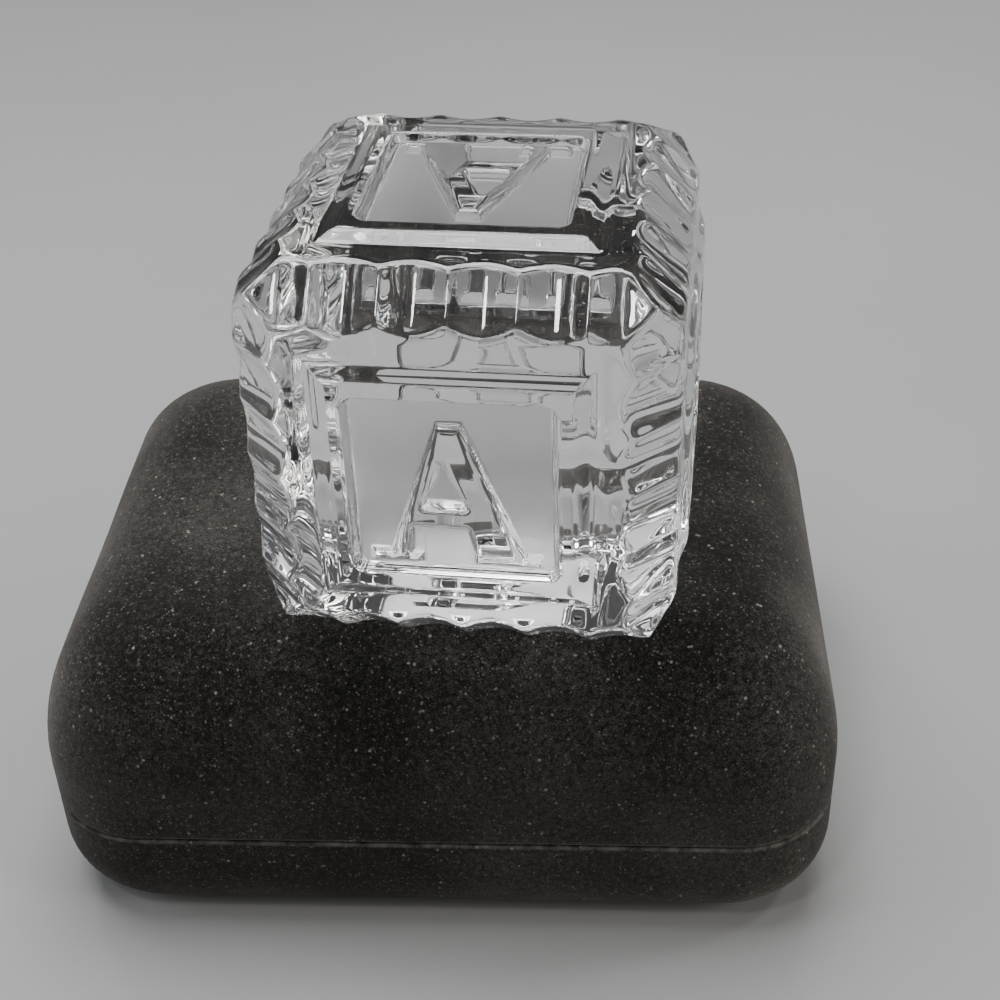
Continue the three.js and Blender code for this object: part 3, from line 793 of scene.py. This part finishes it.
def hinge_pockets(part):
    """Cutters for the room that the hinges need in the back wall of the lid or the base."""
    cutters = []
    wide = HINGE_HALF + POCKET_SIDE
    below, above = POCKET_BELOW_ABOVE[part]
    for x in HINGE_XS:
        low = (x - wide, LEAF_PLATE_Y - POCKET_IN, SEAM_Z - below)
        high = (x + wide, CASE_HALF_Y + 1, SEAM_Z + above)
        cutters.append(box_cutter(low, high))
        cutters.append(rod_cutter(KNUCKLE_CLEAR, x - wide, x + wide, HINGE_Y, SEAM_Z))
    return cutters


def lid_skin():
    """The velvet over the lid, from the middle of its top, round the lip and back up inside."""
    outer = lid_profile(0.0)
    inner = lid_profile(VELVET_THICK)
    wall = [section(z, 0) for z in LID_WALL_RINGS]
    points, faces = sealed(outer[::-1] + wall + rim_rings(LID_RIM, 1) + inner)
    outside = np.arange(len(points)) < len(outer[0]) * (len(outer) + len(CLOSING_SHARES))
    sink = SAG_DEPTH * ripple(points, SAG_LENGTH, SAG_SEED) * outside
    low, high = box_mm("crystal_block")
    middle = (low + high)[:2] / 2
    away = np.hypot(*(points[:, :2] - middle).T)
    sink *= np.clip((away - STAND_R) / STAND_FADE, 0, 1)
    points[:, 2] -= sink * (points[:, 2] > SAG_FROM_Z)
    return cut(add_mesh("lid_skin", points, faces), hinge_pockets("lid"))


def base_skin():
    """The velvet over the base, from its foot, round the lip and back down inside; open in the middle."""
    outer = base_profile(0.0)
    inner = base_profile(VELVET_THICK)
    wall = [section(z, 0) for z in BASE_WALL_RINGS]
    flange = [outer[-1] * (s, s, 1) for s in reversed(FLANGE_SHARES)]
    flange_in = [inner[-1] * (s, s, 1) for s in FLANGE_SHARES]
    rings = flange + outer[::-1] + wall + rim_rings(BASE_RIM, -1) + inner + flange_in
    points, faces = sealed(rings, first_closed=False, last_closed=False)
    count = len(outer[0])
    last = (len(rings) - 1) * count
    faces += [(last + i, last + (i + 1) % count, (i + 1) % count, i) for i in range(count)]
    faces = [tuple(reversed(f)) for f in faces]
    return cut(add_mesh("base_skin", points, faces), hinge_pockets("base"))


lid_velvet = dress(smooth_by_angle(lid_skin(), 50), case_velvet)
settle(lid_velvet, "lid", "case_velvet", "lid_velvet")
base_velvet = dress(smooth_by_angle(base_skin(), 50), case_velvet)
settle(base_velvet, "base", "case_velvet", "base_velvet")

# ---- The padded linings --------------------------------------------------------------------------

# The cloth is blown up at this scale, where the solver's stiffness suits it.
SIM_SCALE = 5.0
SIM_FRAMES = 20
SIM_PRESSURE = 4.0
HELD_BELOW = 0.05
# How deep the free face of each pad reaches down its sides, and over how much it fades.
LID_PAD_FREE = (4.0, 2.5)
BASE_PAD_FREE = (1.6, 1.2)


def mesh_of(node):
    """A new object with the mesh of a CAD node."""
    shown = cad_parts[node]
    mesh = shown.data.copy()
    mesh.transform(shown.matrix_world)
    made = bpy.data.objects.new(f"{node}_padded", mesh)
    bpy.context.scene.collection.objects.link(made)
    return made


def coordinates(mesh):
    points = np.empty(3 * len(mesh.vertices), np.float32)
    mesh.vertices.foreach_get("co", points)
    return points.reshape(-1, 3).astype(float)


def inflate(made, held, slack):
    """How far each point of the fabric moves when it is blown up, with the held points pinned."""
    start = coordinates(made.data)
    made.data.vertices.foreach_set("co", (start * SIM_SCALE).ravel().astype(np.float32))
    group = made.vertex_groups.new(name="held")
    group.add([int(i) for i in np.flatnonzero(held)], 1.0, "REPLACE")
    cloth = made.modifiers.new("cloth", "CLOTH")
    cloth.settings.quality = 6
    cloth.settings.use_pressure = True
    cloth.settings.uniform_pressure_force = SIM_PRESSURE
    cloth.settings.vertex_group_mass = group.name
    cloth.settings.shrink_min = -slack
    cloth.settings.effector_weights.gravity = 0.0
    cloth.collision_settings.use_collision = False
    cloth.point_cache.frame_start = 1
    cloth.point_cache.frame_end = SIM_FRAMES
    for step in range(1, SIM_FRAMES + 1):
        bpy.context.scene.frame_set(step)
    graph = bpy.context.evaluated_depsgraph_get()
    blown = coordinates(made.evaluated_get(graph).data) / SIM_SCALE
    made.modifiers.clear()
    made.vertex_groups.clear()
    bpy.context.scene.frame_set(1)
    made.data.vertices.foreach_set("co", start.ravel().astype(np.float32))
    return blown - start


def padded_piece(node, body, slot, material, voxel_mm, open_side, caps_mm, slack):
    """A stuffed piece in the shape of its CAD node: it swells on its open side and keeps its fit."""
    made = mesh_of(node)
    step = made.modifiers.new("fine", "REMESH")
    step.mode = "VOXEL"
    step.voxel_size = voxel_mm * MM
    bake_modifiers(made)
    smooth = made.modifiers.new("relaxed", "SMOOTH")
    smooth.factor = 0.5
    smooth.iterations = 2
    bake_modifiers(made)
    start = coordinates(made.data)
    free = open_side(start / MM)
    moved = inflate(made, free < HELD_BELOW, slack)
    length = np.maximum(np.linalg.norm(moved, axis=1), 1e-9)
    cap = (caps_mm[0] + (caps_mm[1] - caps_mm[0]) * free) * MM
    moved *= (np.minimum(length, cap * np.tanh(length / cap)) / length)[:, None]
    made.data.vertices.foreach_set("co", (start + moved).ravel().astype(np.float32))
    made.modifiers.new("rounder", "SUBSURF").levels = 1
    made.modifiers[-1].render_levels = 1
    bake_modifiers(made)
    made.data.shade_smooth()
    dress(made, material)
    settle(made, body, slot, node)
    return made


def lid_pad_face(points):
    """How free the lid's lining is: fully on its face, not at all up its sides."""
    reach, fade = LID_PAD_FREE
    return np.clip((box_mm("lid_pad")[0][2] + reach - points[:, 2]) / fade, 0, 1)


def base_pad_face(points):
    """How free the base's pad is: fully on its top, not at all down its sides."""
    reach, fade = BASE_PAD_FREE
    return np.clip((points[:, 2] - box_mm("base_pad")[1][2] + reach) / fade, 0, 1)


padded_piece(
    "lid_pad", "lid", "lining_satin", satin,
    voxel_mm=2.2, open_side=lid_pad_face, caps_mm=(0.15, 3.0), slack=0.12,
)
padded_piece(
    "base_pad", "base", "lining_velvet", lining_velvet,
    voxel_mm=1.5, open_side=base_pad_face, caps_mm=(0.1, 0.5), slack=0.02,
)

# ---- Turned and coiled metal parts ---------------------------------------------------------------

PIN_R = 0.75
PIN_HEAD_R = 1.25
PIN_HEAD = 0.5
RIVET_R = 0.8
RIVET_HEAD_R = 1.5
RIVET_HEAD = 0.8
RIVET_EDGE = 0.1
WIRE_R = 0.28
WIRE_END = 0.8
COIL_R = 1.28
COIL_TURNS = 4
COIL_SHARE = 0.86
TAIL_RUN = 26.0


def turned(name, profile, place, steps=40):
    """A turned part: (radius, along) pairs round an axis, put in place by a function."""
    points = []
    for radius, along in profile:
        for i in range(steps):
            angle = 2 * math.pi * i / steps
            points.append(place(radius * math.cos(angle), radius * math.sin(angle), along))
    made = add_mesh(name, points, capped_tube_faces(len(profile), steps))
    rework(made, lambda grid: bmesh.ops.recalc_face_normals(grid, faces=grid.faces))
    return smooth_by_angle(made, 40)


def dome(radius, height, base, outward, steps=8):
    """The profile of a domed head, from its rim to its crown."""
    angles = np.linspace(0, math.pi / 2 * 0.96, steps)
    return [(radius * math.cos(a), base + outward * height * math.sin(a)) for a in angles]


def hinge_pin(side_name, x):
    """A pin with a domed head at each end."""
    low, high = box_mm(f"hinge_{side_name}_pin")
    ends = low[0] - x, high[0] - x
    profile = dome(PIN_HEAD_R, PIN_HEAD, ends[0] + PIN_HEAD, -1)[::-1]
    profile += [(PIN_R, ends[0] + PIN_HEAD), (PIN_R, ends[1] - PIN_HEAD)]
    profile += dome(PIN_HEAD_R, PIN_HEAD, ends[1] - PIN_HEAD, 1)
    return turned(f"pin_{side_name}", profile, lambda a, b, c: (x + c, HINGE_Y + a, SEAM_Z + b))


def hinge_rivet(node):
    """A rivet with a domed head, its shank towards the outside of the case."""
    low, high = box_mm(node)
    x, z = (low + high)[0] / 2, (low + high)[2] / 2
    seat = low[1] + RIVET_HEAD
    profile = dome(RIVET_HEAD_R, RIVET_HEAD, seat, -1)[::-1]
    profile += [(RIVET_R, seat), (RIVET_R, high[1] - RIVET_EDGE), (RIVET_R - RIVET_EDGE, high[1])]
    return turned(f"{node}_turned", profile, lambda a, b, c: (x + a, c, z + b))


def coil_point(share, x_from, x_to):
    """A point on the spring's wire: the coil, then the straight tail along the leaf."""
    wound = min(share / COIL_SHARE, 1)
    angle = 2 * math.pi * COIL_TURNS * wound
    run = max(share - COIL_SHARE, 0) * TAIL_RUN
    x = x_from + (x_to - x_from) * wound
    y = HINGE_Y + COIL_R * math.sin(angle) - run
    return Vector((x, y, SEAM_Z - COIL_R * math.cos(angle)))


def hinge_spring(side_name, steps=260, sides=12):
    """The wire of one hinge's spring, as a tube along its path."""
    low, high = box_mm(f"hinge_{side_name}_spring")
    x_from, x_to = high[0] - WIRE_R, low[0] + WIRE_R
    path = [coil_point(i / steps, x_from, x_to) for i in range(steps + 1)]
    points = []
    across = Vector((1, 0, 0))
    for i, point in enumerate(path):
        along = (path[min(i + 1, steps)] - path[max(i - 1, 0)]).normalized()
        across = (across - along * across.dot(along)).normalized()
        up = along.cross(across)
        taper = WIRE_END if i in (0, steps) else 1.0
        for k in range(sides):
            angle = 2 * math.pi * k / sides
            offset = across * math.cos(angle) + up * math.sin(angle)
            points.append(tuple(point + offset * WIRE_R * taper))
    faces = capped_tube_faces(len(path), sides)
    return smooth_by_angle(add_mesh(f"spring_{side_name}", points, faces), 50)


for side_name, x in zip(("left", "right"), HINGE_XS):
    for made, kind in ((hinge_pin(side_name, x), "pin"), (hinge_spring(side_name), "spring")):
        settle(dress(made, steel), "base", "hinge_steel", f"hinge_{side_name}_{kind}")
    for body in ("base", "lid"):
        for number in (1, 2):
            node = f"hinge_{side_name}_{body}_rivet_{number}"
            settle(dress(hinge_rivet(node), brass), body, "rim_brass", node)

# ---- CAD nodes shown with their looks and softened edges -----------------------------------------

carried = {
    "base_sheet": (paper, "foot_paper", 0.1),
    "base_shell": (plastic, "case_shell", 0.25),
    "base_rim_frame": (brass, "rim_brass", 0.2),
    "base_card": (card, "card", 0.12),
    "lid_shell": (plastic, "case_shell", 0.25),
    "lid_rim_frame": (brass, "rim_brass", 0.2),
    "lid_card": (card, "card", 0.12),
}
for side_name in ("left", "right"):
    for body in ("base", "lid"):
        carried[f"hinge_{side_name}_{body}_leaf"] = (brass, "rim_brass", 0.12)
for node, (material, slot_name, edge_mm) in carried.items():
    shown = bevel(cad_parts[node], edge_mm)
    dress(shown, material)

# ---- Studio --------------------------------------------------------------------------------------

FLOOR_FRONT = -3000
FLOOR_HALF_WIDTH = 3500
SWEEP_START = 600
SWEEP_R = 500
BACKDROP_TOP = 2500
GLINT_PLACES = ((-350, 500, 450), (200, 520, 420), (-150, -300, 600), (420, 100, 450))
GLINT_SIZE = (60, 60)
GLINT_WATTS = 0.6
AIM_AT = Vector((0, 0, 50)) * MM
SKY_COLOUR = (0.75, 0.77, 0.8, 1.0)
SKY_STRENGTH = 0.15


def stage_floor():
    """A pale sweep: a floor that curves up into a backdrop far behind."""
    look = Look("studio_floor", Roughness=0.7, Specular_IOR_Level=0.3)
    look.colour(look.ramp(look.noise(3.0, detail=4.0), (0.3, grey(0.22)), (0.7, grey(0.26))))
    look.bump(look.noise(400.0), 0.05, strength=0.2)
    profile = [(FLOOR_FRONT, 0), (SWEEP_START, 0)]
    for angle in np.linspace(0.1, math.pi / 2, 12):
        profile.append((SWEEP_START + SWEEP_R * math.sin(angle), SWEEP_R * (1 - math.cos(angle))))
    profile.append((SWEEP_START + SWEEP_R, BACKDROP_TOP))
    points = [(x, y, z) for y, z in profile for x in (-FLOOR_HALF_WIDTH, FLOOR_HALF_WIDTH)]
    faces = [(2 * i, 2 * i + 1, 2 * i + 3, 2 * i + 2) for i in range(len(profile) - 1)]
    return dress(add_mesh("floor", points, faces), look.material)


def softbox(name, at_mm, size_mm, watts, colour=(1.0, 1.0, 1.0)):
    """A rectangular soft light aimed at the award."""
    data = bpy.data.lights.new(name, "AREA")
    data.shape = "RECTANGLE"
    data.size, data.size_y = size_mm[0] * MM, size_mm[1] * MM
    data.energy = watts
    data.color = colour
    lamp = bpy.data.objects.new(name, data)
    bpy.context.scene.collection.objects.link(lamp)
    lamp.location = Vector(at_mm) * MM
    lamp.rotation_euler = (AIM_AT - lamp.location).to_track_quat("-Z", "Y").to_euler()


stage_floor()
softbox("light_above", (-60, 120, 620), (500, 360), 7.0)
softbox("light_left", (-620, -60, 300), (300, 420), 2.0, (0.95, 0.97, 1.0))
softbox("light_right", (560, -220, 260), (200, 360), 2.6, (1.0, 0.96, 0.9))
for number, place in enumerate(GLINT_PLACES, 1):
    softbox(f"glint_{number}", place, GLINT_SIZE, GLINT_WATTS)

world = bpy.data.worlds.new("studio")
bpy.context.scene.world = world
world.use_nodes = True
sky = world.node_tree.nodes["Background"]
sky.inputs["Color"].default_value = SKY_COLOUR
sky.inputs["Strength"].default_value = SKY_STRENGTH
